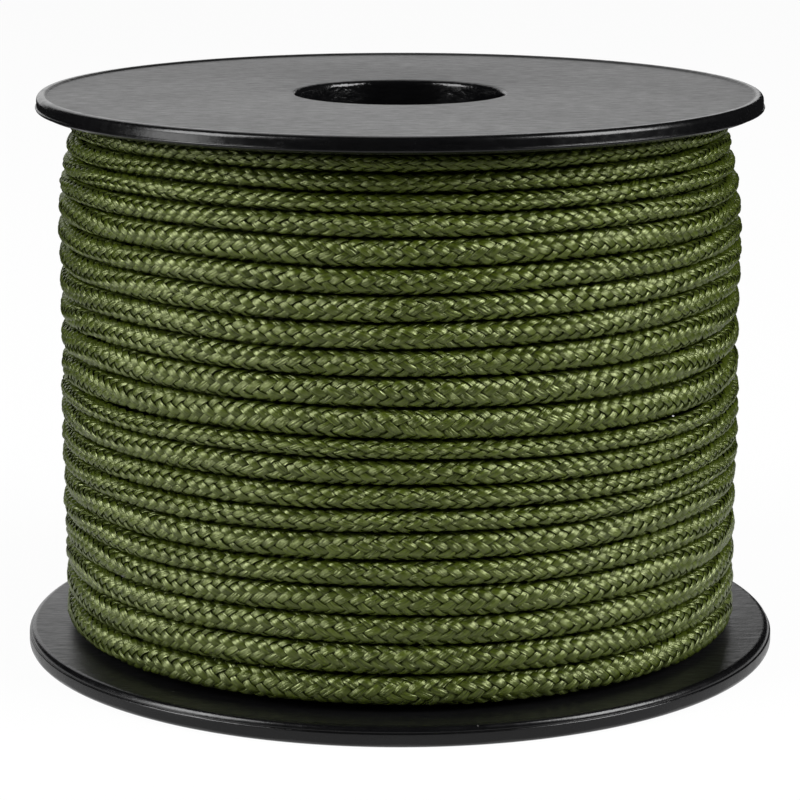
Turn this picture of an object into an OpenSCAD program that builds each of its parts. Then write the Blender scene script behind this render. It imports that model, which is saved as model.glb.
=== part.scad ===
// Cord spool: two moulded flanges snapped onto a drum barrel, wound with braided cord.
// It stands on its lower flange. Z runs up the bore, and the origin is at the centre of the base.

/* [Flanges] */
// Diameter of the upper flange at its straight side
upper_flange_d = 107.4; // [104:0.2:140]
// Diameter of the lower flange, on which the spool stands
lower_flange_d = 112.8; // [104:0.2:140]
// Thickness of the upper flange's flat disc
upper_disc_t = 2.2; // [1.8:0.1:4]
// Thickness of the lower flange's flat disc
lower_disc_t = 2.7; // [1.8:0.1:4]
// Height of the raised rim above the outer face
rim_h = 0.3; // [0.1:0.1:1]
// Width of the flat top of the raised rim
rim_land_w = 0.4; // [0.2:0.1:2]
// Width of the slope from the rim down to the outer face
rim_slope_w = 0.4; // [0.2:0.1:2]
// Radius of the rim's outer shoulder
shoulder_r = 0.8; // [0.6:0.1:1.4]
// Height of the bevel at the cord-side edge
edge_bevel_h = 0.6; // [0.3:0.1:0.7]
// Width of the bevel at the cord-side edge
edge_bevel_w = 0.8; // [0.4:0.1:1.5]
// How far the parting-line lip stands out from the side
lip_out = 0.25; // [0.05:0.05:0.25]
// Height of the lip's middle above the cord-side face
lip_up = 0.65; // [0.4:0.05:0.9]
// Radius of the lip's rounded edge
lip_r = 0.3; // [0.25:0.05:0.4]

/* [Bore and collars] */
// Diameter of the bore that runs through the spool
bore_d = 31; // [24:0.5:34]
// Radius of the rounded edge at each mouth of the bore
mouth_r = 0.8; // [0.4:0.1:1.2]
// Wall of the collar by which a flange plugs into the barrel
collar_wall = 1.8; // [1.2:0.1:2.5]
// Length of a collar below its flange
collar_l = 12; // [10:0.5:15]
// Chamfer around a collar's free end
collar_chamfer = 0.5; // [0.2:0.1:1]
// Radial clearance between a collar and the barrel
collar_clearance = 0.05; // [0.02:0.01:0.2]

/* [Snap pads] */
// Number of snap pads around a collar
snap_count = 4; // [2:1:6]
// Width of a snap pad
snap_w = 7; // [4:0.5:9]
// Height of a snap pad
snap_h = 3; // [2:0.25:4]
// How far a snap pad stands out from its collar
snap_out = 1.2; // [0.6:0.1:1.5]
// Distance from the flange's cord-side face to the pad's catch edge
snap_setback = 5; // [4:0.5:6]
// Clearance between a snap pad and its window in the barrel
snap_clearance = 0.15; // [0.05:0.05:0.3]

/* [Barrel] */
// Wall of the drum barrel
barrel_wall = 2.1; // [1.6:0.1:4]
// Clearance around the cord in the hole for its first end
start_hole_clearance = 0.3; // [0.1:0.1:1]
// Distance from the lower collar's free end to the edge of that hole
start_hole_gap = 4; // [2:0.5:10]

/* [Cord] */
// Diameter of the cord as it lies wound
cord_d = 3.6; // [3:0.1:5]
// Width of the winding, from flange to flange
winding_w = 78; // [60:1:100]
// Diameter over the outer layer of turns
winding_d = 102; // [80:1:103]
// Gap from the outer turns to the flanges
side_gap = 0.3; // [0.2:0.1:1]
// Least gap between one turn of the outer layer and the next
turn_gap = 0.41; // [0.41:0.01:1]
// Radius of the bend where an end of the outer layer turns down into the winding
bend_r = 6; // [4.5:0.5:8]
// Direction, seen from above, on whose two sides the outer layer's ends turn down
end_azimuth = 90; // [0:5:355]
// Clearance between the wound cord and what lies next to it
wrap_clearance = 0.1; // [0.05:0.05:0.3]
// Clearance around an end of the outer layer in its hollow
hollow_clearance = 0.3; // [0.2:0.1:0.6]
// How far the melted head on the cord's first end reaches past its hole's edge
head_overlap = 1.1; // [0.6:0.1:1.5]
// Thickness of that head
head_t = 1; // [0.6:0.1:1.2]

/* [Hidden] */

// Fineness of large and small circles, how far a cut runs past a face, and the colours
ROUND = 180;
FILLET = 48;
CUT = 1;
PLASTIC = [0.10, 0.10, 0.11];
CORD = [0.36, 0.43, 0.20];

// Radii and heights that follow from the sizes above
lower_rim_t = lower_disc_t + rim_h;
bore_r = bore_d / 2;
collar_r = bore_r + collar_wall;
barrel_in_r = collar_r + collar_clearance;
barrel_r = barrel_in_r + barrel_wall;
start_hole_d = cord_d + 2 * start_hole_clearance;
start_hole_z = lower_rim_t + collar_l + start_hole_gap + start_hole_d / 2;

// The outer layer: a helix of whole loops, and at each end a bend down into the winding
SIDES = 6;
RINGS_PER_LOOP = 24;
MAX_LOOPS = 24;
BEND_RINGS = 6;
cord_r = cord_d / 2;
flat_half = cord_r * cos(180 / SIDES);
coil_r = winding_d / 2 - cord_r;
bend_angle = bend_r / coil_r * 180 / PI;
low_z = lower_rim_t + side_gap + flat_half;
rise = winding_w - 2 * (side_gap + flat_half);
loops = min(MAX_LOOPS, floor(rise / (2 * flat_half + turn_gap) - bend_angle / 180));
rise_per_degree = rise / (360 * loops + 2 * bend_angle);
tip_r = coil_r - bend_r - cord_d;

// The inner layers: a plain ring that stays clear of the flats between the helix's rings
core_in_r = barrel_r + wrap_clearance;
core_r = (coil_r - cord_r) * cos(180 / RINGS_PER_LOOP) - wrap_clearance;

// ---- Flanges ------------------------------------------------------------------------------

// Half section of a flange, with its cord-side face on z = 0 and its outer face up
module flange_section(flange_r, disc_t) {
    rim_t = disc_t + rim_h;
    shoulder_x = flange_r - shoulder_r;
    difference() {
        union() {
            polygon([
                [bore_r, 0],
                [flange_r - edge_bevel_w, 0],
                [flange_r, edge_bevel_h],
                [flange_r, rim_t - shoulder_r],
                [shoulder_x, rim_t - shoulder_r],
                [shoulder_x, rim_t],
                [shoulder_x - rim_land_w, rim_t],
                [shoulder_x - rim_land_w - rim_slope_w, disc_t],
                [bore_r, disc_t]
            ]);
            translate([shoulder_x, rim_t - shoulder_r]) circle(r = shoulder_r, $fn = FILLET);
            translate([flange_r + lip_out - lip_r, lip_up]) circle(r = lip_r, $fn = FILLET);
            collar_section(disc_t);
        }
        mouth_rounding(disc_t);
    }
}

module collar_section(disc_t) {
    polygon([
        [bore_r, disc_t / 2],
        [bore_r, -collar_l],
        [collar_r - collar_chamfer, -collar_l],
        [collar_r, -collar_l + collar_chamfer],
        [collar_r, disc_t / 2]
    ]);
}

// What the rounded mouth of the bore takes off the corner
module mouth_rounding(disc_t) {
    translate([bore_r, disc_t - mouth_r]) difference() {
        translate([-CUT, 0]) square([mouth_r + CUT, mouth_r + CUT]);
        translate([mouth_r, 0]) circle(r = mouth_r, $fn = FILLET);
    }
}

// The pads slope at the side that enters the barrel first, and catch square at the other
module snap_pads() {
    intersection() {
        rotate_extrude($fn = ROUND) polygon([
            [collar_r - collar_wall / 2, -snap_setback],
            [collar_r + snap_out, -snap_setback],
            [collar_r + snap_out, -snap_setback - snap_h / 3],
            [collar_r, -snap_setback - snap_h],
            [collar_r - collar_wall / 2, -snap_setback - snap_h]
        ]);
        snap_blocks(snap_w, snap_setback, snap_h);
    }
}

// Radial blocks where the snap pads are, from setback to setback + height below z = 0
module snap_blocks(width, setback, height) {
    for (i = [0:snap_count - 1])
        rotate((i + 0.5) * 360 / snap_count)
            translate([bore_r, -width / 2, -setback - height])
                cube([barrel_r - bore_r + CUT, width, height]);
}

module flange(flange_d, disc_t) {
    union() {
        rotate_extrude($fn = ROUND) flange_section(flange_d / 2, disc_t);
        snap_pads();
    }
}

module upper_flange() {
    color(PLASTIC) translate([0, 0, lower_rim_t + winding_w]) flange(upper_flange_d, upper_disc_t);
}

module lower_flange() {
    color(PLASTIC) translate([0, 0, lower_rim_t]) mirror([0, 0, 1])
        flange(lower_flange_d, lower_disc_t);
}

// ---- Barrel -------------------------------------------------------------------------------

module snap_windows() {
    snap_blocks(snap_w + 2 * snap_clearance, snap_setback - snap_clearance, snap_h + 2 * snap_clearance);
}

module barrel() {
    color(PLASTIC) difference() {
        translate([0, 0, lower_rim_t]) cylinder(r = barrel_r, h = winding_w, $fn = ROUND);
        translate([0, 0, lower_rim_t - CUT])
            cylinder(r = barrel_in_r, h = winding_w + 2 * CUT, $fn = ROUND);
        translate([0, 0, lower_rim_t + winding_w]) snap_windows();
        translate([0, 0, lower_rim_t]) mirror([0, 0, 1]) snap_windows();
        start_hole();
    }
}

module start_hole() {
    translate([0, 0, start_hole_z]) rotate([0, 90, 0])
        cylinder(d = start_hole_d, h = barrel_r + CUT, $fn = FILLET);
}

// ---- Cord ---------------------------------------------------------------------------------

// The first end: it passes out through the barrel's hole, and a melted head stops it inside
module cord_start() {
    head_d = start_hole_d + 2 * head_overlap;
    head_out_r = barrel_in_r - wrap_clearance;
    head_in_x = head_out_r - head_t;
    color(CORD) translate([0, 0, start_hole_z]) union() {
        intersection() {
            translate([head_in_x, 0, 0]) rotate([0, 90, 0])
                cylinder(d = head_d, h = head_t + CUT, $fn = FILLET);
            translate([0, 0, -head_d]) cylinder(r = head_out_r, h = 2 * head_d, $fn = ROUND);
        }
        translate([head_in_x, 0, 0]) rotate([0, 90, 0])
            cylinder(d = cord_d, h = barrel_r - head_in_x, $fn = FILLET);
    }
}

// The inner layers, with a hollow for each end of the outer layer
module cord_core() {
    color(CORD) difference() {
        translate([0, 0, lower_rim_t + wrap_clearance])
            cylinder(r = core_r, h = winding_w - 2 * wrap_clearance, $fn = ROUND);
        translate([0, 0, lower_rim_t]) cylinder(r = core_in_r, h = winding_w, $fn = ROUND);
        end_hollow(1, low_z);
        end_hollow(-1, low_z + rise);
    }
}

// The hollow where an end goes down; way is 1 where the turn leaves it and -1 where it arrives
module end_hollow(way, z) {
    side = cord_r + hollow_clearance;
    half_h = flat_half + hollow_clearance;
    rotate(end_azimuth - way * bend_angle)
        translate([tip_r - wrap_clearance, way > 0 ? -side : -bend_r - side, z - half_h])
            cube([winding_d, bend_r + 2 * side, 2 * half_h]);
}

// The outer layer's centre line, as [radius, angle]: out of the winding, round and round, and back
tip_route = concat(
    [for (x = [tip_r, (tip_r + coil_r - bend_r) / 2]) [x, -bend_angle]],
    [for (i = [0:BEND_RINGS - 1]) let (b = 90 * i / BEND_RINGS)
        [coil_r - bend_r + bend_r * sin(b), -bend_angle * cos(b)]]
);
coil_route = concat(
    tip_route,
    [for (i = [0:RINGS_PER_LOOP * loops]) [coil_r, 360 * i / RINGS_PER_LOOP]],
    [for (i = [len(tip_route) - 1:-1:0]) [tip_route[i][0], 360 * loops - tip_route[i][1]]]
);
coil_points = [for (p = coil_route) let (a = end_azimuth + p[1])
    [p[0] * cos(a), p[0] * sin(a), low_z + rise_per_degree * (p[1] + bend_angle)]];

// One ring of the tube: corners face out and in, and flats face the next turns
function unit(v) = v / norm(v);
function along(p, i) = unit(p[min(i + 1, len(p) - 1)] - p[max(i - 1, 0)]);
function ring(p, i) =
    let (out = unit(cross(along(p, i), [0, 0, 1])), up = cross(out, along(p, i)))
    [for (k = [0:SIDES - 1]) let (a = 360 * k / SIDES) p[i] + cord_r * (cos(a) * out + sin(a) * up)];
function tube_rings(p) = [for (i = [0:len(p) - 1]) ring(p, i)];

// Least distance between the points of one loop and those of the next, ends included
function least_gap(rings) =
    let (half = RINGS_PER_LOOP / 2, last = len(rings) - 1)
    min([for (i = [0:last - half])
        for (j = [i + half:min(i + 2 * RINGS_PER_LOOP - half, last)])
            for (a = rings[i]) for (b = rings[j]) norm(a - b)]);

module tube(rings) {
    last = len(rings) - 1;
    polyhedron(
        points = [for (r = rings) for (q = r) q],
        faces = concat(
            [for (i = [0:last - 1]) for (k = [0:SIDES - 1]) let (n = (k + 1) % SIDES)
                [i * SIDES + k, (i + 1) * SIDES + k, (i + 1) * SIDES + n]],
            [for (i = [0:last - 1]) for (k = [0:SIDES - 1]) let (n = (k + 1) % SIDES)
                [i * SIDES + k, (i + 1) * SIDES + n, i * SIDES + n]],
            [for (k = [1:SIDES - 2]) [0, k, k + 1]],
            [for (k = [1:SIDES - 2]) [last * SIDES, last * SIDES + k + 1, last * SIDES + k]]
        )
    );
}

module cord_winding() {
    rings = tube_rings(coil_points);
    echo(loops = loops, rings = len(rings), least_gap_mm = least_gap(rings));
    color(CORD) tube(rings);
}

lower_flange();
barrel();
upper_flange();
cord_start();
cord_core();
cord_winding();
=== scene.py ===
# %% [markdown]
# # Dressing a spool of braided cord
# The spool is two moulded flanges on a drum barrel, wound with a thin braided cord. The
# frame holds its rigid parts at their real size. This lesson gives the plastic its finish and
# builds the cord as it really is: strands that pass over and under each other, laid round the
# drum turn by turn. The scene is in metres, and the main sizes come from the frame.

# %% Load the frame
import bpy
import math
import numpy as np
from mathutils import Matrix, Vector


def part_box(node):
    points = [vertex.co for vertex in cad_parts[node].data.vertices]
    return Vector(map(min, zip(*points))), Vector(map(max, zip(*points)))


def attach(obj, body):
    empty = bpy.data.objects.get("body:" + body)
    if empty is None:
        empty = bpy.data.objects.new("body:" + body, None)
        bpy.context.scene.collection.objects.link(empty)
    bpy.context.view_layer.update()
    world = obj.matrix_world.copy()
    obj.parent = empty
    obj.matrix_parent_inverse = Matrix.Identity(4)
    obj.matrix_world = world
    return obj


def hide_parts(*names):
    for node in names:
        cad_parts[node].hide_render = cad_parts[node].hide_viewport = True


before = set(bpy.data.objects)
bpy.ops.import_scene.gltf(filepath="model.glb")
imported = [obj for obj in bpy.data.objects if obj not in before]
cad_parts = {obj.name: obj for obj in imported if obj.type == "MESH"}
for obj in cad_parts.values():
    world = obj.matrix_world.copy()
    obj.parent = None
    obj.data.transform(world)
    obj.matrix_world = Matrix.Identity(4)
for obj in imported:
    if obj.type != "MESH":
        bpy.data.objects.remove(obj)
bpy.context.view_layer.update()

# %% [markdown]
# A maker thinks of this spool in millimetres, so sizes are written as a number times `MM`. A
# fixed seed makes the small accidents of winding and braiding the same on every run.

# %% Units and seed
MM = 0.001
SEED = 7
chance = np.random.default_rng(SEED)
print("one millimetre is", MM, "and the seed is", SEED)

# %% [markdown]
# ## Camera
# The spool is seen from a little above, through a long lens, so that its sides stay nearly
# parallel. The camera stands straight in front and is only pitched down.

# %% Camera
CAMERA_AT = (0, -462.7 * MM, 137.06 * MM)
CAMERA_PITCH = 12.277
CAMERA_LENS = 140.55

camera = bpy.data.objects.new("camera", bpy.data.cameras.new("camera"))
bpy.context.scene.collection.objects.link(camera)
camera.location = CAMERA_AT
camera.rotation_euler = (math.radians(90 - CAMERA_PITCH), 0, 0)
camera.data.lens = CAMERA_LENS
camera.data.clip_start = 10 * MM
bpy.context.scene.camera = camera
bpy.context.scene.view_settings.view_transform = "Standard"
print("camera at", CAMERA_AT, "with a", CAMERA_LENS, "mm lens")

# %% [markdown]
# ## Shader arithmetic
# A material is a web of nodes, and sums in it are hard to read. `Signal` wraps one socket, so
# that `1 - mask` or `height * 0.5` adds the Math nodes by itself. Every other node comes from
# its `node` method: the settings go in first, then the values or links of the sockets.

# %% Signal


class Signal:
    """A value that runs through a node tree."""

    def __init__(self, tree, socket=None):
        self.tree = tree
        self.socket = socket

    def node(self, kind, settings=None, inputs=None, output=0):
        """A new node, as a signal of its output: settings first, then the sockets' values."""
        made = self.tree.nodes.new(kind)
        for name, value in (settings or {}).items():
            setattr(made, name, value)
        for key, value in (inputs or {}).items():
            if isinstance(value, Signal):
                self.tree.links.new(value.socket, made.inputs[key])
            else:
                made.inputs[key].default_value = value
        return Signal(self.tree, None if output is None else made.outputs[output])

    def maths(self, operation, *values):
        """A Math node on signals and plain numbers."""
        settings = {"operation": operation}
        return self.node("ShaderNodeMath", settings, dict(enumerate(values)))

    def __add__(self, other):
        return self.maths("ADD", self, other)

    def __radd__(self, other):
        return self.maths("ADD", other, self)

    def __sub__(self, other):
        return self.maths("SUBTRACT", self, other)

    def __rsub__(self, other):
        return self.maths("SUBTRACT", other, self)

    def __mul__(self, other):
        return self.maths("MULTIPLY", self, other)

    def __rmul__(self, other):
        return self.maths("MULTIPLY", other, self)

    def size(self):
        """This signal without its sign."""
        return self.maths("ABSOLUTE", self)

    def ramp(self, start, end):
        """0 at start and 1 at end, eased at both."""
        settings = {"interpolation_type": "SMOOTHSTEP"}
        inputs = {"Value": self, "From Min": start, "From Max": end}
        return self.node("ShaderNodeMapRange", settings, inputs)

    def axis(self, which):
        """One of a vector's numbers: 0, 1 or 2."""
        return self.node("ShaderNodeSeparateXYZ", None, {0: self}, which)

    def stretch(self, x, y, z):
        """A vector multiplied axis by axis."""
        settings = {"operation": "MULTIPLY"}
        return self.node("ShaderNodeVectorMath", settings, {0: self, 1: (x, y, z)})

    def blend(self, low, high):
        """A colour from low to high, with this signal as the share of high."""
        settings = {"data_type": "RGBA"}
        return self.node("ShaderNodeMix", settings, {0: self, 6: low, 7: high}, 2)

    def noise(self, scale, detail, roughness):
        """Noise from 0 to 1, read at the place that this vector gives."""
        inputs = {"Vector": self, "Scale": scale, "Detail": detail, "Roughness": roughness}
        return self.node("ShaderNodeTexNoise", None, inputs)

    def bump(self, distance):
        """A normal that follows this signal as a height, where 1 stands for the distance."""
        return self.node("ShaderNodeBump", None, {"Height": self, "Distance": distance})


print("Signal is ready")

# %% [markdown]
# Colours are easiest to pick as they look on a screen, from 0 to 255. Shaders want them
# linear, so `paint` converts them.

# %% Paint


def paint(red, green, blue):
    """A screen colour, 0 to 255, as the linear colour that a shader takes."""
    shares = [c / 255 for c in (red, green, blue)]
    linear = [s / 12.92 if s <= 0.04045 else ((s + 0.055) / 1.055) ** 2.4 for s in shares]
    return (*linear, 1)


def blank_material(name):
    """A new material with an empty tree, and a signal to start from."""
    material = bpy.data.materials.new(name)
    material.use_nodes = True
    material.node_tree.nodes.clear()
    return material, Signal(material.node_tree)


print("mid grey is", paint(128, 128, 128))

# %% [markdown]
# ## Studio
# A dark, satin object is shot in a white room with two broad soft lights, one on each side.
# They show twice in the satin of the cord and leave its middle calm. The background is plain
# white only for the rays that see or mirror it, so it doesn't flood the object with light.

# %% White room
WHITE = (1, 1, 1, 1)
ROOM_LIGHT = 0.09


def seen_or_mirrored(signal):
    """1 for the rays that see or mirror the background, 0 for those that light the object."""
    camera_ray, glossy_ray, through_ray = [
        signal.node("ShaderNodeLightPath", output=f"Is {kind} Ray")
        for kind in ("Camera", "Glossy", "Transmission")]
    return camera_ray + glossy_ray + through_ray


world = bpy.data.worlds.new("studio")
bpy.context.scene.world = world
world.use_nodes = True
world.node_tree.nodes.clear()
air = Signal(world.node_tree)
dim_air = air.node("ShaderNodeBackground", None, {"Color": WHITE, "Strength": ROOM_LIGHT})
white_air = air.node("ShaderNodeBackground", None, {"Color": WHITE, "Strength": 1.0})
sky = air.node("ShaderNodeMixShader", None, {0: seen_or_mirrored(air), 1: dim_air, 2: white_air})
air.node("ShaderNodeOutputWorld", None, {"Surface": sky}, None)
print("the room lights the object at", ROOM_LIGHT)

# %% [markdown]
# The two soft lights stand at the sides, a little in front and well above the spool, so that
# each turn of cord is brighter on top. `soft_light` works out the lamp's power from how bright a
# white card would look under it at the spool, because that is what a photographer measures.

# %% Soft lights
TARGET = (0, 0, 45 * MM)


def soft_light(name, azimuth, elevation, distance, width, height, brightness):
    """A rectangular lamp at a direction seen from the target. Azimuth 0 is in front."""
    lamp = bpy.data.lights.new(name, "AREA")
    lamp.shape = "RECTANGLE"
    lamp.size = width
    lamp.size_y = height
    lamp.energy = brightness * (math.pi * distance) ** 2
    holder = bpy.data.objects.new(name, lamp)
    bpy.context.scene.collection.objects.link(holder)
    turn, lift = math.radians(azimuth), math.radians(elevation)
    holder.location = (
        TARGET[0] + distance * math.sin(turn) * math.cos(lift),
        TARGET[1] - distance * math.cos(turn) * math.cos(lift),
        TARGET[2] + distance * math.sin(lift),
    )
    holder.rotation_euler = (math.radians(90) - lift, 0, turn)
    print(name, "stands at", [round(c, 2) for c in holder.location])


soft_light("left_softbox", azimuth=-67, elevation=30, distance=1.2,
           width=0.6, height=0.75, brightness=1.0)
soft_light("right_softbox", azimuth=70, elevation=31, distance=1.2,
           width=0.65, height=0.75, brightness=1.24)

# %% [markdown]
# The spool stands on a wide white table. Most of the table's white is its own for the rays
# that see or mirror it, as with the room, and the rest is lit, so that the shadow stays. Under
# the spool, where no light comes, it has none of its own.

# %% Table
TABLE_HALF = 4.0
TABLE_PAINT = paint(250, 250, 250)
OWN_WHITE = 0.95
STANDS_ON = 54 * MM
SHADE_FADE = 4 * MM


def place(signal):
    """Where a point is, in metres from the centre of the spool's base."""
    return signal.node("ShaderNodeTexCoord", output="Object")


def radius_of(point):
    """How far a point is from the spool's axis."""
    flat = point.stretch(1, 1, 0)
    return point.node("ShaderNodeVectorMath", {"operation": "LENGTH"}, {0: flat}, 1)


def studio_thing(name, points, faces, material):
    """A thing of the studio, which isn't part of the spool."""
    mesh = bpy.data.meshes.new(name)
    mesh.from_pydata(points, [], faces)
    mesh.materials.append(material)
    thing = bpy.data.objects.new(name, mesh)
    bpy.context.scene.collection.objects.link(thing)
    return thing


table_white, wood = blank_material("table_white")
lit = wood.node("ShaderNodeBsdfDiffuse", None, {"Color": TABLE_PAINT})
own = wood.node("ShaderNodeEmission", None, {"Color": WHITE, "Strength": 1.0})
uncovered = radius_of(place(wood)).ramp(STANDS_ON - SHADE_FADE, STANDS_ON)
share = seen_or_mirrored(wood) * uncovered * OWN_WHITE
surface = wood.node("ShaderNodeMixShader", None, {0: share, 1: lit, 2: own})
wood.node("ShaderNodeOutputMaterial", None, {"Surface": surface}, None)
table_corners = [(x * TABLE_HALF, y * TABLE_HALF, 0)
                 for x, y in ((-1, -1), (1, -1), (1, 1), (-1, 1))]
studio_thing("table", table_corners, [(0, 1, 2, 3)], table_white)
print("the table is", 2 * TABLE_HALF, "m wide")

# %% [markdown]
# Black plastic needs something dark to mirror, or its rims turn grey. So a black hood stands
# round the front and the sides, open only behind, and black cloth covers the table further out.
# Near the spool a grey sheet lies on the table instead, as painted shade: it is the table's white
# as the spool's shadow dims it, for the rims to mirror. A bright card leans back on the cloth at
# the left, and draws a short highlight on the wall of the upper rim. All of them are seen in
# reflections alone.

# %% Cards
BLACK_FELT, TABLE_SHADE_GREY = 0.012, 0.62
GREY_FROM, BLACK_FROM = 0.0572, 0.19
CARD_R = 2.4
CARD_STEPS = 24
HOOD_LEFT, HOOD_RIGHT = -150, 168
BOUNCE_LEFT, BOUNCE_RIGHT = -80, -57
BOUNCE_NEAR, BOUNCE_FAR = (0.285, 0.002), (0.6, 0.12)
BOUNCE_STRENGTH = 4.6
FELT_THICK = 0.1 * MM
HOOD_LIFTS = range(0, 91, 15)


def arc(radius, height, first, last):
    """Points round the spool from one azimuth to another, in degrees."""
    turns = [math.radians(first + (last - first) * i / CARD_STEPS) for i in range(CARD_STEPS + 1)]
    return [(radius * math.sin(t), -radius * math.cos(t), height) for t in turns]


def card(name, strength, arcs):
    """A band of card between arcs that follow each other, which only reflections show."""
    material, felt = blank_material(name)
    glow = felt.node("ShaderNodeEmission", None, {"Color": WHITE, "Strength": strength})
    felt.node("ShaderNodeOutputMaterial", None, {"Surface": glow}, None)
    row = CARD_STEPS + 1
    faces = [(k * row + i, k * row + i + 1, (k + 1) * row + i + 1, (k + 1) * row + i)
             for k in range(len(arcs) - 1) for i in range(CARD_STEPS)]
    band = studio_thing(name, [p for a in arcs for p in a], faces, material)
    band.visible_camera = False
    band.visible_diffuse = False
    band.visible_transmission = False
    band.visible_shadow = False


# painted shade: the grey sheet is the table's white dimmed by the spool's shadow, for the rims to
# mirror
card("painted_table_shade", TABLE_SHADE_GREY, [arc(r, FELT_THICK, -180, 180) for r in (GREY_FROM, BLACK_FROM)])
card("black_cloth", BLACK_FELT, [arc(r, FELT_THICK, -180, 180) for r in (BLACK_FROM, CARD_R)])
card("bounce_card", BOUNCE_STRENGTH, [arc(*BOUNCE_NEAR, BOUNCE_LEFT, BOUNCE_RIGHT),
                                      arc(*BOUNCE_FAR, BOUNCE_LEFT, BOUNCE_RIGHT)])
dome = [(CARD_R * math.cos(math.radians(lift)), CARD_R * math.sin(math.radians(lift)))
        for lift in HOOD_LIFTS]
card("black_hood", BLACK_FELT, [arc(r, height, HOOD_LEFT, HOOD_RIGHT) for r, height in dome])
print("the hood is open over", 360 - HOOD_RIGHT + HOOD_LEFT, "degrees behind")

# %% [markdown]
# ## Pieces from arrays
# The flanges and the cord have many thousands of points, so they are worked out as arrays and
# handed to Blender at once. `new_piece` also keeps the numbers that a material reads at each
# point, and a map that gives each part of a surface its own place in a picture, for whoever
# bakes the finish.

# %% New piece
BAKE_MAP = "OFBake"


def new_piece(name, points, faces, material, slot, braid=None, cells=None, sharp=None):
    """A mesh object from arrays of points and four-sided faces."""
    mesh = bpy.data.meshes.new(name)
    mesh.vertices.add(len(points))
    mesh.vertices.foreach_set("co", np.asarray(points, np.float32).ravel())
    mesh.loops.add(faces.size)
    mesh.loops.foreach_set("vertex_index", faces.astype(np.int32).ravel())
    mesh.polygons.add(len(faces))
    mesh.polygons.foreach_set("loop_start", np.arange(0, faces.size, 4, dtype=np.int32))
    mesh.polygons.foreach_set("use_smooth", np.ones(len(faces), bool))
    mesh.update(calc_edges=True)
    if sharp is not None:
        mesh.set_sharp_from_angle(angle=math.radians(sharp))
    if braid is not None:
        places = mesh.attributes.new("braid", "FLOAT_VECTOR", "POINT")
        places.data.foreach_set("vector", np.asarray(braid, np.float32).ravel())
    if cells is not None:
        layer = mesh.uv_layers.new(name=BAKE_MAP)
        layer.uv.foreach_set("vector", cells[faces.ravel()].astype(np.float32).ravel())
    mesh.materials.append(material)
    piece = bpy.data.objects.new(name, mesh)
    bpy.context.scene.collection.objects.link(piece)
    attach(piece, "root")
    print(name, "has", len(faces), "faces")
    return piece


# %% [markdown]
# A moulded flange is a lathe shape: an outline turned about the axis. Every edge of a moulding
# has a small round, because the mould is cut with a round tool, and these rounds catch the
# light as fine lines. So the outline is a list of corners with a radius each, in millimetres,
# and `soften` turns each corner into an arc. `turn_outline` turns the outline about the axis,
# and `rings_to_mesh` covers rings that follow each other, as on a hose.

# %% Lathe
ROUND_STEPS = 5
LATHE_STEPS = 400


def soften(corners):
    """A closed outline of corners (r, z, rounding) with an arc in each corner's place."""
    spots = np.array([c[:2] for c in corners], float)
    outline = []
    for i, (x, z, rounding) in enumerate(corners):
        corner = np.array([x, z])
        before, after = [(other - corner) / np.linalg.norm(other - corner)
                         for other in (spots[i - 1], spots[(i + 1) % len(spots)])]
        half = math.acos(np.clip(before @ after, -1, 1)) / 2
        middle = (before + after) / np.linalg.norm(before + after)
        centre = corner + middle * rounding / math.sin(half)
        start, end = [corner + way * rounding / math.tan(half) - centre for way in (before, after)]
        first = math.atan2(start[1], start[0])
        sweep = (math.atan2(end[1], end[0]) - first + math.pi) % (2 * math.pi) - math.pi
        for turn in first + sweep * np.linspace(0, 1, ROUND_STEPS + 1):
            outline.append(centre + rounding * np.array([math.cos(turn), math.sin(turn)]))
    return np.array(outline) * MM


def full_turn(steps):
    """Angles evenly spaced over one full turn, in radians."""
    return np.arange(steps) * 2 * math.pi / steps


def turn_outline(outline, azimuths, closed):
    """Points and faces of an outline turned through azimuths. Points may differ by azimuth."""
    outline = np.broadcast_to(outline, (len(azimuths),) + outline.shape[-2:])
    r, z = outline[..., 0], outline[..., 1]
    cos, sin = np.cos(azimuths)[:, None], np.sin(azimuths)[:, None]
    points = np.stack([r * cos, r * sin, z], -1)
    a = np.arange(len(azimuths) - (0 if closed else 1))[:, None]
    k = np.arange(r.shape[1])[None, :]
    many = r.shape[1]
    b, n = (a + 1) % len(azimuths), (k + 1) % many
    faces = np.stack([a * many + k, b * many + k, b * many + n, a * many + n], -1)
    return points.reshape(-1, 3), faces.reshape(-1, 4)


def rings_to_mesh(rings):
    """Points and faces of a skin over rings of points that follow each other."""
    count, many, _ = rings.shape
    a = np.arange(count - 1)[:, None] * many
    k = np.arange(many)[None, :]
    n = (k + 1) % many
    faces = np.stack([a + k, a + n, a + many + n, a + many + k], -1)
    return rings.reshape(-1, 3), faces.reshape(-1, 4)


def join(*parts):
    """Several lots of points and faces as one."""
    offsets = np.cumsum([0] + [len(points) for points, _ in parts])
    return (np.concatenate([points for points, _ in parts]),
            np.concatenate([faces + offset for (_, faces), offset in zip(parts, offsets)]))


print("a lathe shape has", LATHE_STEPS, "steps")

# %% [markdown]
# ## Moulded plastic
# The flanges and the barrel are black plastic from a mould. Its flat faces are lightly
# spark-eroded, so they are matt with fine streaks, and the rims are polished a little more. The
# bore is smooth, because the pin that forms it has to slide out. Waves in the roughness and
# grains in the normal give that without any picture. Some dust has settled, as it always does
# on black. Each noise is listed by its scale, detail and roughness.

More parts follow.
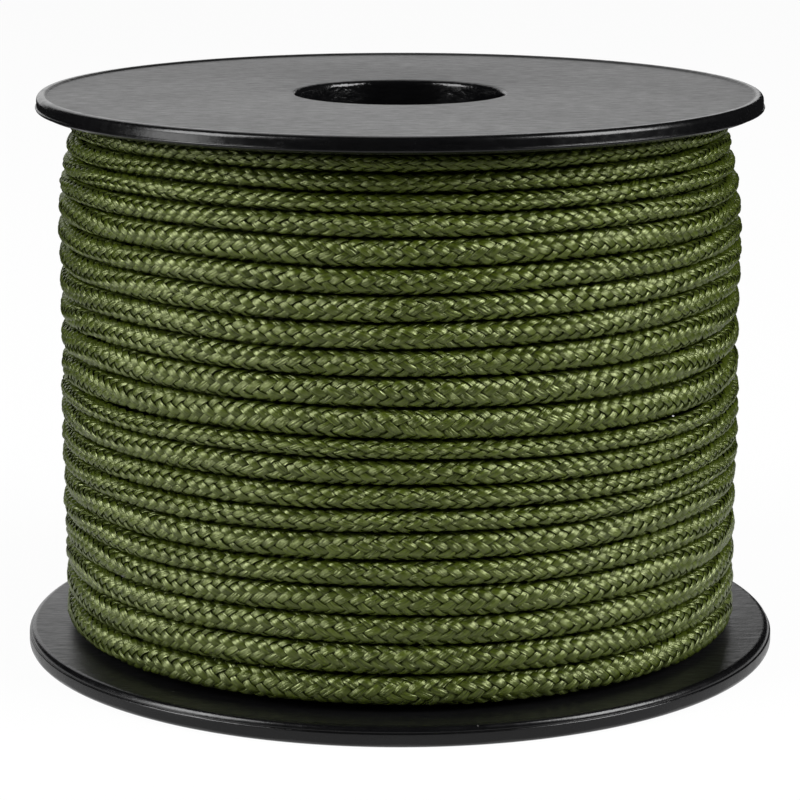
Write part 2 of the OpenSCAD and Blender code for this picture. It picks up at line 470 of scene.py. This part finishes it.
# %% Plastic
PLASTIC_BLACK = paint(4, 4, 5)
PLASTIC_DUSTY = paint(13, 13, 14)
DUST = paint(96, 96, 92)
PLASTIC_IOR = 1.44
FACE_ROUGH, RIM_ROUGH, BORE_ROUGH, BARREL_ROUGH = 0.38, 0.23, 0.16, 0.42
CLOUDS, RIPPLES = (60, 4, 0.6), (260, 3, 0.6)
STREAKS, GRAINS = (950, 3, 0.6), (1900, 2, 0.6)
SPECKS, SPECK_PATCHES = (1300, 1, 0.4), (90, 2, 0.5)
SPECK_EDGE, PATCH_EDGE = (0.79, 0.83), (0.5, 0.6)
CLOUD_ROUGH, STREAK_ROUGH, GRAIN_ROUGH = 0.10, 0.26, 0.06
STREAK_DEEP, RIPPLE_DEEP, GRAIN_DEEP = 5.0, 1.6, 0.8
MOULD_RELIEF = 0.02 * MM
RIM_BLUR, BORE_FADES, BORE_ENDS = 0.2 * MM, 0.1 * MM, 0.5 * MM


def plastic(name, bore_radius, face_radius, face_rough, rim_rough):
    """Black plastic: polished in the bore, matt from there to face_radius, and smoother outside."""
    material, start = blank_material(name)
    point = place(start)
    radius = radius_of(point)
    rim = radius.ramp(face_radius - RIM_BLUR, face_radius + RIM_BLUR)
    bore = 1 - radius.ramp(bore_radius + BORE_FADES, bore_radius + BORE_ENDS)
    cloudy = point.noise(*CLOUDS)
    streaks = point.stretch(0.4, 1, 1).noise(*STREAKS)
    grain = point.noise(*GRAINS)
    ripple = point.noise(*RIPPLES)
    specks = point.noise(*SPECKS).ramp(*SPECK_EDGE) * point.noise(*SPECK_PATCHES).ramp(*PATCH_EDGE)
    black = (cloudy * 0.6 + grain * 0.2).blend(PLASTIC_BLACK, PLASTIC_DUSTY)
    rough = (face_rough + rim * (rim_rough - face_rough) + bore * (BORE_ROUGH - face_rough)
             + (cloudy - 0.5) * CLOUD_ROUGH + (streaks - 0.5) * STREAK_ROUGH
             + (grain - 0.5) * GRAIN_ROUGH)
    height = streaks * (1 - rim) * STREAK_DEEP + ripple * rim * RIPPLE_DEEP + grain * GRAIN_DEEP
    shader = start.node("ShaderNodeBsdfPrincipled", None, {
        "Base Color": specks.blend(black, DUST),
        "Roughness": rough,
        "IOR": PLASTIC_IOR,
        "Normal": height.bump(MOULD_RELIEF),
    }, "BSDF")
    start.node("ShaderNodeOutputMaterial", None, {"Surface": shader}, None)
    return material


def dress(node, material):
    """Gives a CAD node its material."""
    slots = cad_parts[node].data.materials
    slots.clear()
    slots.append(material)
    print(node, "is dressed in", material.name)


barrel_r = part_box("barrel")[1].x
past_barrel = barrel_r + 1 * MM
dress("barrel", plastic("barrel_plastic", 0, past_barrel, BARREL_ROUGH, BARREL_ROUGH))

# %% [markdown]
# ## Flanges
# Each flange is one moulding: a disc with a raised rim, a rounded shoulder, a thin lip where
# the two halves of the mould meet, and a collar that plugs into the barrel. The frame has the
# same shape. It is turned again here, because rounds of a tenth of a millimetre are what the
# light draws the rim with, and because the lip of a real moulding is never quite even.
#
# The outline is drawn with the cord side down, in millimetres, and starts inside the collar.
# The edge at the cord side is a bevel on the upper flange and a full round on the lower one.
# It is a short list of corners: how far in from the rim, how high, and how round. The upper
# flange's lip is a thin step at the foot of the wall, and its face leans in a little. On the
# lower flange the whole wall stands out as far as the lip.

# %% Flange outline
RIM_UP, LAND, SLOPE, SHOULDER = 0.3, 0.4, 0.4, 0.8
LIP_OUT, LIP_HIGH, LIP_IN = 0.25, 0.42, 0.14
BORE, MOUTH, COLLAR_WALL, COLLAR_LONG, CHAMFER = 15.5, 0.8, 1.8, 12, 0.5
EDGE, SLOPE_FOOT, SLOPE_TOP = 0.1, 0.25, 0.15
LIP_ROOT, LIP_TOP, LIP_FOOT = 0.05, 0.14, 0.2
BEVELLED = [(0.3, 0.37, 0.05), (0.8, 0, EDGE)]
ROUNDED = [(0, 0.88, 0.05), (0, 0, 0.82)]


def flange_corners(rim_r, thick, cord_edge, thin_lip):
    """The corners of a flange's outline: radius, height and rounding."""
    disc = thick - RIM_UP
    land_out = rim_r - SHOULDER
    lip_r = rim_r + LIP_OUT
    lip_low = cord_edge[0][1]
    if thin_lip:
        wall = [(rim_r, thick, SHOULDER), (rim_r, lip_low + LIP_HIGH, LIP_ROOT),
                (lip_r, lip_low + LIP_HIGH, LIP_TOP), (lip_r - LIP_IN, lip_low, LIP_FOOT)]
    else:
        wall = [(lip_r, thick, SHOULDER), (lip_r, lip_low, LIP_FOOT)]
    return [
        (BORE, -COLLAR_LONG, EDGE),
        (BORE, disc, MOUTH),
        (land_out - LAND - SLOPE, disc, SLOPE_FOOT),
        (land_out - LAND, thick, SLOPE_TOP),
        *wall,
        *[(rim_r - inset, height, rounding) for inset, height, rounding in cord_edge],
        (BORE + COLLAR_WALL, 0, EDGE),
        (BORE + COLLAR_WALL, CHAMFER - COLLAR_LONG, EDGE),
        (BORE + COLLAR_WALL - CHAMFER, -COLLAR_LONG, EDGE),
    ]


print("the collar is", COLLAR_LONG, "mm long, and the lip stands out", LIP_OUT, "mm")

# %% [markdown]
# Four snap pads stand out from each collar and catch in the barrel's windows. They slope at the
# side that enters the barrel first.

# %% Build the flanges
PAD_COUNT, PAD_WIDTH, PAD_BACK, PAD_LONG = 4, 7, 5, 3
PAD_OUT, PAD_ROOT, PAD_STEPS = 1.2, 0.9, 9
FLASH = 0.03 * MM
FLASH_KNOTS = 150
SHARP = 50


def ease(x):
    """0 up to 0 and 1 from 1, eased in between."""
    x = np.clip(x, 0, 1)
    return x * x * (3 - 2 * x)


def snap_pads():
    """The pads of one collar, each a slice of a lathe shape with a face at either end."""
    out = BORE + COLLAR_WALL
    corners = [(out - PAD_ROOT, -PAD_BACK), (out + PAD_OUT, -PAD_BACK),
               (out + PAD_OUT, -PAD_BACK - PAD_LONG / 3), (out, -PAD_BACK - PAD_LONG)]
    reach = math.asin(PAD_WIDTH / 2 / out)
    pads = []
    for i in range(PAD_COUNT):
        middle = (i + 0.5) * 2 * math.pi / PAD_COUNT
        azimuths = middle + np.linspace(-reach, reach, PAD_STEPS)
        points, faces = turn_outline(np.array(corners) * MM, azimuths, False)
        last = len(points) - len(corners)
        ends = np.array([[3, 2, 1, 0], [last, last + 1, last + 2, last + 3]])
        pads.append((points, np.concatenate([faces, ends])))
    return join(*pads)


def build_flange(node, outer_face_up, cord_edge, thin_lip):
    """Turns a flange in a node's place, with its cord side down or up."""
    low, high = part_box(node)
    rim_r = high.x / MM - LIP_OUT
    thick = (high.z - low.z) / MM - COLLAR_LONG
    outline = soften(flange_corners(rim_r, thick, cord_edge, thin_lip))
    azimuths = full_turn(LATHE_STEPS)
    knots = chance.normal(0, FLASH, FLASH_KNOTS)
    uneven = np.interp(azimuths, np.linspace(0, 2 * math.pi, FLASH_KNOTS + 1), [*knots, knots[0]])
    low_down = outline[:, 1] / MM < cord_edge[0][1] + LIP_HIGH
    on_lip = ease((outline[:, 0] / MM - rim_r) / LIP_OUT) * low_down
    outlines = np.repeat(outline[None], LATHE_STEPS, 0)
    outlines[..., 0] -= on_lip * np.abs(uneven)[:, None]
    points, faces = join(turn_outline(outlines, azimuths, True), snap_pads())
    if outer_face_up:
        points[:, 2] += high.z - thick * MM
    else:
        points[:, 2] = low.z + thick * MM - points[:, 2]
        faces = faces[:, ::-1]
    face_r = (rim_r - SHOULDER - (LAND if outer_face_up else 0)) * MM
    finish = plastic(f"{node}_plastic", BORE * MM, face_r, FACE_ROUGH, RIM_ROUGH)
    flange = new_piece(f"{node}_moulding", points, faces, finish, "flange_plastic", sharp=SHARP)
    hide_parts(node)


build_flange("upper_flange", True, BEVELLED, True)
build_flange("lower_flange", False, ROUNDED, False)

# %% [markdown]
# ## How the cord lies
# The outer layer is one cord laid in turns from the lower flange to the upper one. On a spool
# like this a turn runs level most of the way round and steps up beside the last turn within a
# short stretch at the back. Hands and machines never space the turns quite alike, so their
# widths are listed here in millimetres, from the bottom up, and a slow waver is added to each
# groove between two turns. Grooves come first, then the turn in between fills the room it has.

# %% Grooves
TURN_WIDTHS = [4.6, 4.3, 4.1, 4.2, 3.7, 4.0, 3.2, 3.4, 3.6, 2.8, 4.4,
               4.2, 3.8, 3.7, 3.8, 3.7, 4.0, 3.2, 2.7, 2.7, 2.6]
SIDE_ROOM = 0.6
TURNS = len(TURN_WIDTHS)
FRONT = -math.pi / 2

wound_low, wound_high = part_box("cord_core")
groove_z = (wound_low.z / MM + SIDE_ROOM + np.cumsum([0] + TURN_WIDTHS)) * MM
WAVER = [(1, 0.30), (2, 0.26), (3, 0.20), (5, 0.12)]
MOST_DRIFT = 0.9
waver_start = chance.uniform(0, 2 * math.pi, len(WAVER))
waver_drift = chance.uniform(-MOST_DRIFT, MOST_DRIFT, len(WAVER))
print(TURNS, "turns between", groove_z[0], "and", groove_z[-1])


def groove(number, azimuth):
    """Height of the groove below a turn at an azimuth. It wavers most away from the flanges."""
    number = np.clip(number, 0, TURNS)
    held = np.sqrt(np.sin(math.pi * np.clip(number / TURNS, 0, 1)))
    waver = 0
    for (waves, depth), start, drift in zip(WAVER, waver_start, waver_drift):
        phase = start + drift * number
        waver = waver + depth * (np.sin(waves * (azimuth - FRONT) + phase) - np.sin(phase))
    return groove_z[number] + held * waver * MM


def mid_turn(number, azimuth):
    """Height of a turn's middle, where a turn of the layer below has its edge."""
    return (groove(number, azimuth) + groove(number + 1, azimuth)) / 2


# %% [markdown]
# `lay` works out the whole route of a layer as one long list of places: the distance from the
# spool's axis, the azimuth, the height, and the cord's two half thicknesses there. Where the
# room between two grooves is narrow, the soft cord is squeezed and bulges outwards instead. The
# last turns, laid against the upper flange, sink into those below them, and the outer layer's
# two ends tuck in. A round turn stays about `SPARE` inside the frame's own winding.

# %% Lay a layer of turns
CORD_R = 1.82 * MM
THINNEST = 1.25 * MM
FATTEST = 2.14 * MM
SHALLOWEST = 1.78 * MM
DEEPEST = 1.88 * MM
SQUEEZE = 0.05 * MM
STEP_SHARE = 0.14
SINK = 2.3 * MM
SINK_TURNS = 3.0
BACK = math.pi / 2
PLACES_PER_TURN = 240


def lay(turns, edge, rest_r, tuck):
    """The route of a layer whose turns lie between edges and rest on the radius rest_r."""
    turn = np.linspace(0, turns, turns * PLACES_PER_TURN + 1)
    azimuth = BACK + 2 * math.pi * turn
    nearest = np.round(turn).astype(int)
    step = ease((turn - nearest + STEP_SHARE) / (2 * STEP_SHARE))
    middle, half = 0, 0
    for number, part in ((nearest - 1, 1 - step), (nearest, step)):
        number = np.clip(number, 0, turns - 1)
        low, high = edge(number, azimuth), edge(number + 1, azimuth)
        middle = middle + part * (low + high) / 2
        half = half + part * np.clip((high - low) / 2 - SQUEEZE, THINNEST, FATTEST)
    depth = np.clip(np.sqrt(2 * CORD_R**2 - half**2), SHALLOWEST, DEEPEST)
    end = ease(1 - turn / STEP_SHARE) + ease(1 - (turns - turn) / STEP_SHARE)
    sunk = SINK * np.exp(-((turns - turn) / SINK_TURNS) ** 2)
    radius = rest_r + depth - tuck * end - sunk
    x, y = radius * np.cos(azimuth), radius * np.sin(azimuth)
    steps = np.sqrt(np.diff(x)**2 + np.diff(y)**2 + np.diff(middle)**2)
    along = np.concatenate([[0], np.cumsum(steps)])
    return {"along": along, "azimuth": azimuth, "radius": radius, "z": middle,
            "half": half, "depth": depth, "turn": turn}


LAYER_DEPTH = 3.1 * MM
END_TUCK = 4.5 * MM
SPARE = 0.05 * MM
rest_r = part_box("cord_winding")[1].x - 2 * CORD_R - SPARE
outer = lay(TURNS, groove, rest_r, END_TUCK)
inner = lay(TURNS - 1, mid_turn, rest_r - LAYER_DEPTH, 0)
print("the outer layer holds", round(outer["along"][-1], 3), "m of cord")

# %% [markdown]
# ## The braid
# The cord is a tube of sixteen strands: eight wind one way round, eight the other, and each
# goes over two and under two. Seen from outside, the stretches on top form eight rows along the
# cord that lean one way and the other in turn, and they are called floats.
#
# A bump could fake a braid that is seen from afar, but here the strands draw the outline of
# every turn. Sixteen whole strands would be heavy, and most of each would lie hidden. So only
# the floats are built. Each is a short piece of a flat strand that rises from under its
# neighbours, crowns and dives again, and the places where it disappears come about by
# themselves. Strands are a tenth wider than the room for them, so that they crowd each other.
# The cord is soft, and pressed between its neighbours it is a little squarer than round.
#
# A float is a small grid of points. `p` runs along it and `q` across it, and both are closer
# together near its edges, where it curves most. `lift` is the height above the cord's middle
# surface.

# %% Braid sizes
ROWS = 8
ROW_WIDTH = 2 * math.pi * CORD_R / ROWS
LEAN = math.radians(35.5)
CROWDED = 1.1
FLOAT_STEP = ROW_WIDTH / math.tan(LEAN)
STRAND_HALF = CROWDED / 2 * FLOAT_STEP * math.sin(LEAN)
STRAND_THICK = 0.20 * MM
CAMBER = 0.6
RISE = 0.31 * MM
SKIN = STRAND_THICK + RISE
REACH = 0.76
S_BEND = 0.03 * MM
SQUARER = 0.07
FINE_GRID = ([-1, -0.72, -0.44, -0.15, 0.15, 0.44, 0.72, 1], [-1, -0.93, -0.55, 0, 0.55, 0.93, 1])
PLAIN_GRID = ([-1, -0.5, 0, 0.5, 1], [-1, -0.9, 0.9, 1])
print("a row is", round(ROW_WIDTH / MM, 2), "mm wide, with a float every",
      round(FLOAT_STEP / MM, 2), "mm")


def on_cord(route, v, angle, lift, swell=1):
    """Points at a distance v along the cord and an angle round it, lifted off its skin."""
    def at(name):
        return np.interp(v, route["along"], route[name])
    azimuth = at("azimuth")
    pressed = swell * (1 + SQUARER * np.sin(2 * angle)**2)
    radius = at("radius") + pressed * (at("depth") - SKIN + lift) * np.cos(angle)
    return np.stack([radius * np.cos(azimuth), radius * np.sin(azimuth),
                     at("z") + pressed * (at("half") - SKIN + lift) * np.sin(angle)], -1)


# %% [markdown]
# The braid turns slowly about the cord's own axis as it is laid, so that the rows drift up and
# down a turn. `spread` finds every float that shows, with small accidents: no two are quite
# equally long, plump or spaced.

# %% Spread the floats
TWIST_WAVES = [(0.045, 0.55), (0.13, 0.35), (0.41, 0.2)]
TWIST_RATE = 4.0
OUT_OF_STEP = 0.035
ACCIDENTS = {"plump": 0.12, "length": 0.05, "width": 0.05, "lean": 0.05}
twist_start = chance.uniform(0, 2 * math.pi, len(TWIST_WAVES))


def twist(v):
    """How far the braid has turned about the cord's axis, in radians."""
    turned = v * TWIST_RATE
    for (length, depth), start in zip(TWIST_WAVES, twist_start):
        turned = turned + depth * np.sin(2 * math.pi * v / length + start)
    return turned


def spread(route, shown):
    """The floats within an angle shown of the outside, as one column of numbers for each fact."""
    total = route["along"][-1]
    row, number = np.meshgrid(np.arange(ROWS), np.arange(int(total / FLOAT_STEP)), indexing="ij")
    row, number = row.ravel(), number.ravel()
    v = (number + 0.25 + 0.5 * (row % 2) + chance.normal(0, OUT_OF_STEP, row.size)) * FLOAT_STEP
    angle = (row + 0.5) * 2 * math.pi / ROWS
    facing = (angle + twist(v) + math.pi) % (2 * math.pi) - math.pi
    keep = (np.abs(facing) < shown) & (v > FLOAT_STEP) & (v < total - FLOAT_STEP)
    many = keep.sum()
    facts = {"v": v[keep], "angle": angle[keep], "way": 1 - 2 * (row[keep] % 2),
             "luck": chance.uniform(0, 1, many)}
    for name, deviation in ACCIDENTS.items():
        facts[name] = 1 + chance.normal(0, deviation, many)
    return facts


print("the braid turns once in about", round(2 * math.pi / TWIST_RATE, 2), "m of cord")

# %% [markdown]
# `weave` turns the floats into geometry. Along its run a strand isn't quite straight: it lies
# flatter on its crown and steeper where it dives. Across, it is a ribbon of filaments with a
# cambered top, and its sides go down to the strands below, so that no gap shows under it.

# %% Weave
CELL_FILL = 0.42


def weave(route, facts, grid):
    """Points, faces, places on the braid and places on the bake's map of some floats."""
    p, q = np.meshgrid(*grid, indexing="ij")
    corner = np.arange(p.size).reshape(p.shape)
    faces = np.stack([corner[:-1, :-1], corner[1:, :-1], corner[1:, 1:], corner[:-1, 1:]], -1)
    p, q, faces = p.ravel(), q.ravel(), faces.reshape(-1, 4)
    fact = {name: values[:, None] for name, values in facts.items()}
    run = p * REACH * fact["length"] * ROW_WIDTH / math.sin(LEAN)
    side = q * STRAND_HALF * fact["width"]
    tilt = LEAN * fact["lean"]
    around = fact["way"] * (run * np.sin(tilt) - S_BEND * np.sin(2 * math.pi * p * REACH))
    around = around + side * np.cos(tilt)
    v = fact["v"] + run * np.cos(tilt) - fact["way"] * side * np.sin(tilt)
    crown = RISE * np.cos(math.pi * p * REACH) * fact["plump"]
    top = crown + STRAND_THICK * (1 - CAMBER * q**2)
    lift = np.where(np.abs(q) < 1, top, np.minimum(crown, 0))
    points = on_cord(route, v, fact["angle"] + around / CORD_R + twist(v), lift)
    many = len(facts["v"])
    offsets = np.arange(many)[:, None, None] * p.size
    ones = np.ones((many, 1))
    braid = np.stack([q * ones, p * ones, fact["luck"] + 0 * p], -1)
    columns = math.ceil(math.sqrt(many))
    cell = np.arange(many)[:, None]
    cells = np.stack([(cell % columns + 0.5 + CELL_FILL * q) / columns,
                      (cell // columns + 0.5 + CELL_FILL * p) / columns], -1)
    return (points.reshape(-1, 3), (faces + offsets).reshape(-1, 4),
            braid.reshape(-1, 3), cells.reshape(-1, 2))


print("a fine float has", len(FINE_GRID[0]), "by", len(FINE_GRID[1]), "points")

# %% [markdown]
# Under the floats the cord needs a body, or light would leak in between them. A plain tube a
# little thinner than the braid does that. Its first and last rings are drawn together to a
# point, so that it is closed.

# %% Cord body
BODY_SIDES = 12
BODY_EVERY = 4


def body(route):
    """The points and faces of a closed tube inside the braid."""
    v = route["along"][::BODY_EVERY, None]
    angle = full_turn(BODY_SIDES)[None, :]
    swell = np.ones(v.shape)
    swell[[0, -1]] = 0
    return rings_to_mesh(on_cord(route, v, angle, 0, swell))


print("the body has", BODY_SIDES, "sides")

# %% [markdown]
# ## The cord's finish
# The strands are bundles of fine synthetic filaments, so they shine like satin along their
# length. The filaments run along the float as faint ridges, and the colour varies a little from
# float to float.
#
# At its edges and where it dives, a strand is shaded by its neighbours, so there it has to be
# dark and dull. A dark base colour leaves the gloss as it is, and whoever bakes the finish can
# carry colour, roughness and metal from place to place, but the gloss only as one number. So
# the shaded part counts as metal: a metal mirrors in its own colour, and a nearly black one
# mirrors almost nothing.

# %% Cord material
OLIVE = paint(30, 39, 2)
OLIVE_PALE = paint(62, 74, 7)
OLIVE_DEEP = paint(27, 35, 3)
EDGE_SHADE = 0.85
SIDE_SHADED, END_SHADED = (0.84, 0.96), (0.58, 0.8)
SATIN_TINT = (0.90, 1.0, 0.50, 1)
SATIN_IOR, SATIN_GLOSS = 1.6, 1.0
BARE_ROUGH, SHADED_ROUGH, FILAMENT_ROUGH = 0.23, 0.92, 0.12
FILAMENT_PITCH, FILAMENTS = (2.1, 0.3, 191.0), (1.0, 3, 0.6)
FILAMENT_RELIEF = 0.28 * MM
LUCK_SHARE = 0.3


def cord_material(name):
    """The braid's finish, read from each float's own places: across, along and its luck."""
    material, start = blank_material(name)
    braid = start.node("ShaderNodeAttribute", {"attribute_name": "braid"}, None, "Vector")
    across, along, luck = [braid.axis(i) for i in range(3)]
    filaments = braid.stretch(*FILAMENT_PITCH).noise(*FILAMENTS)
    open_side = 1 - across.size().ramp(*SIDE_SHADED) * EDGE_SHADE
    open_end = 1 - along.size().ramp(*END_SHADED)
    bare = open_side * open_end
    tone = luck * LUCK_SHARE + filaments.ramp(0.40, 0.60) * (1 - LUCK_SHARE)
    rough = SHADED_ROUGH + bare * (BARE_ROUGH - SHADED_ROUGH) + filaments * FILAMENT_ROUGH
    shader = start.node("ShaderNodeBsdfPrincipled", None, {
        "Base Color": bare.blend(OLIVE_DEEP, tone.blend(OLIVE, OLIVE_PALE)),
        "Roughness": rough,
        "Metallic": 1 - bare,
        "IOR": SATIN_IOR,
        "Specular IOR Level": SATIN_GLOSS,
        "Specular Tint": SATIN_TINT,
        "Normal": filaments.bump(FILAMENT_RELIEF),
    }, "BSDF")
    start.node("ShaderNodeOutputMaterial", None, {"Surface": shader}, None)
    return material


def lumpy_material(name, lumps, smoothest, rougher, relief):
    """The cord where no strand shows. One noise gives its colour, roughness and relief."""
    material, start = blank_material(name)
    lump = place(start).noise(*lumps)
    shader = start.node("ShaderNodeBsdfPrincipled", None, {
        "Base Color": lump.ramp(0.3, 0.7).blend(OLIVE_DEEP, OLIVE),
        "Roughness": smoothest + lump * rougher,
        "Normal": lump.bump(relief),
    }, "BSDF")
    start.node("ShaderNodeOutputMaterial", None, {"Surface": shader}, None)
    return material


olive_cord = cord_material("olive_cord")
olive_inside = lumpy_material("olive_inside", lumps=(1400, 3, 0.7), smoothest=0.5,
                              rougher=0.3, relief=0.08 * MM)
print("one finish for the strands, and a dull, fibrous one for where none shows")

# %% [markdown]
# ## The wound cord
# The outer layer shows most, so its floats are fine. They are split into pieces of three turns,
# so that none is too heavy to edit. Of the layer below only what looks out through the grooves
# is woven, more plainly, and the rest of the winding is a plain core.

# %% Build the winding
OUTER_SHOWN = math.radians(108)
INNER_SHOWN = math.radians(55)
TURNS_PER_PIECE = 3
CORE_SINK = 3.2 * MM
CORE_GAP = 0.1 * MM
CORE_ROUND = 0.4


def part_of(route, facts, first_turn, last_turn):
    """Those of the floats that lie between two turns of a route."""
    first, last = np.interp([first_turn, last_turn], route["turn"], route["along"])
    inside = (facts["v"] >= first) & (facts["v"] < last)
    return {name: values[inside] for name, values in facts.items()}


outer_floats = spread(outer, OUTER_SHOWN)
for first in range(0, TURNS, TURNS_PER_PIECE):
    some = part_of(outer, outer_floats, first, first + TURNS_PER_PIECE)
    points, faces, braid, cells = weave(outer, some, FINE_GRID)
    name = f"cord_turns_{first + 1}_to_{first + TURNS_PER_PIECE}"
    new_piece(name, points, faces, olive_cord, "cord", braid, cells, SHARP)
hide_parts("cord_winding")
new_piece("cord_outer_body", *body(outer), olive_inside, "cord")

points, faces, braid, cells = weave(inner, spread(inner, INNER_SHOWN), PLAIN_GRID)
new_piece("cord_inner_turns", points, faces, olive_cord, "cord", braid, cells)
core_in = barrel_r + CORE_GAP
core_out = inner["radius"].min() - CORE_SINK
core_corners = [(core_in, wound_low.z), (core_in, wound_high.z),
                (core_out, wound_high.z), (core_out, wound_low.z)]
core_outline = soften([(r / MM, z / MM, CORE_ROUND) for r, z in core_corners])
core = turn_outline(core_outline, full_turn(LATHE_STEPS), True)
inner_body = new_piece("cord_inner_body", *join(body(inner), core), olive_inside, "cord", sharp=60)
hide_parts("cord_core")

# %% [markdown]
# ## The cord's first end
# The first end goes through a hole in the barrel, where a melted head holds it. Melting turns
# the braid into a dark, glossy, lumpy button.

# %% Melted head
HEAD_RINGS = 8
HEAD_SPOKES = 48
HEAD_WAVES = [(2, 0.05), (3, 0.04), (5, 0.02)]
HEAD_FILL, FLATTEN = 0.9, 0.96
LUMPS, LUMP_DEPTH, LUMP_SWIRL = 4, 0.24, 7
BARREL_WALL = 2.2 * MM
STUB_SHARE, TIP_SHARE = 0.53, 0.8
STUB_IN, TIP_LONG = 0.3 * MM, 0.2 * MM


def melted_head():
    """Points and faces of the head and of the stub that leads to it, along +X."""
    low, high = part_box("cord_start")
    centre_z, head_r = (low.z + high.z) / 2, (high.z - low.z) / 2
    seat_r = barrel_r - BARREL_WALL
    spokes = full_turn(HEAD_SPOKES)
    wavy = [depth * np.sin(waves * spokes + waves**2) for waves, depth in HEAD_WAVES]
    outline = HEAD_FILL + sum(wavy)
    share = np.linspace(0, 1, HEAD_RINGS + 1)[:, None]
    y = head_r * share * outline * np.cos(spokes)
    z = head_r * share * outline * np.sin(spokes)
    seat = np.sqrt(seat_r**2 - y**2)
    thick = (seat_r - low.x - SPARE) * np.sqrt(1 - FLATTEN * share**4)
    lumpy = 1 + np.sin(LUMPS * spokes + LUMP_SWIRL * share)
    lumps = 1 - LUMP_DEPTH * lumpy * share * (1 - share)
    front = np.stack([seat - thick * lumps, y, centre_z + z], -1)
    back = np.stack([seat, y, centre_z + z], -1)
    head = np.stack([*front, *back[::-1]])

    def ring(x, radius):
        return np.stack([x + 0 * spokes, radius * np.cos(spokes),
                         centre_z + radius * np.sin(spokes)], -1)
    stub_r = head_r * STUB_SHARE
    stem_start = seat_r - STUB_IN
    stem = np.stack([ring(stem_start, 0), ring(stem_start, stub_r), ring(high.x - TIP_LONG, stub_r),
                     ring(high.x, TIP_SHARE * stub_r), ring(high.x, 0)])
    return join(rings_to_mesh(head), rings_to_mesh(stem))


melted_cord = lumpy_material("melted_cord", lumps=(500, 3, 0.6), smoothest=0.18,
                             rougher=0.2, relief=0.2 * MM)
first_end = new_piece("cord_first_end", *melted_head(), melted_cord, "cord", sharp=70)
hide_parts("cord_start")
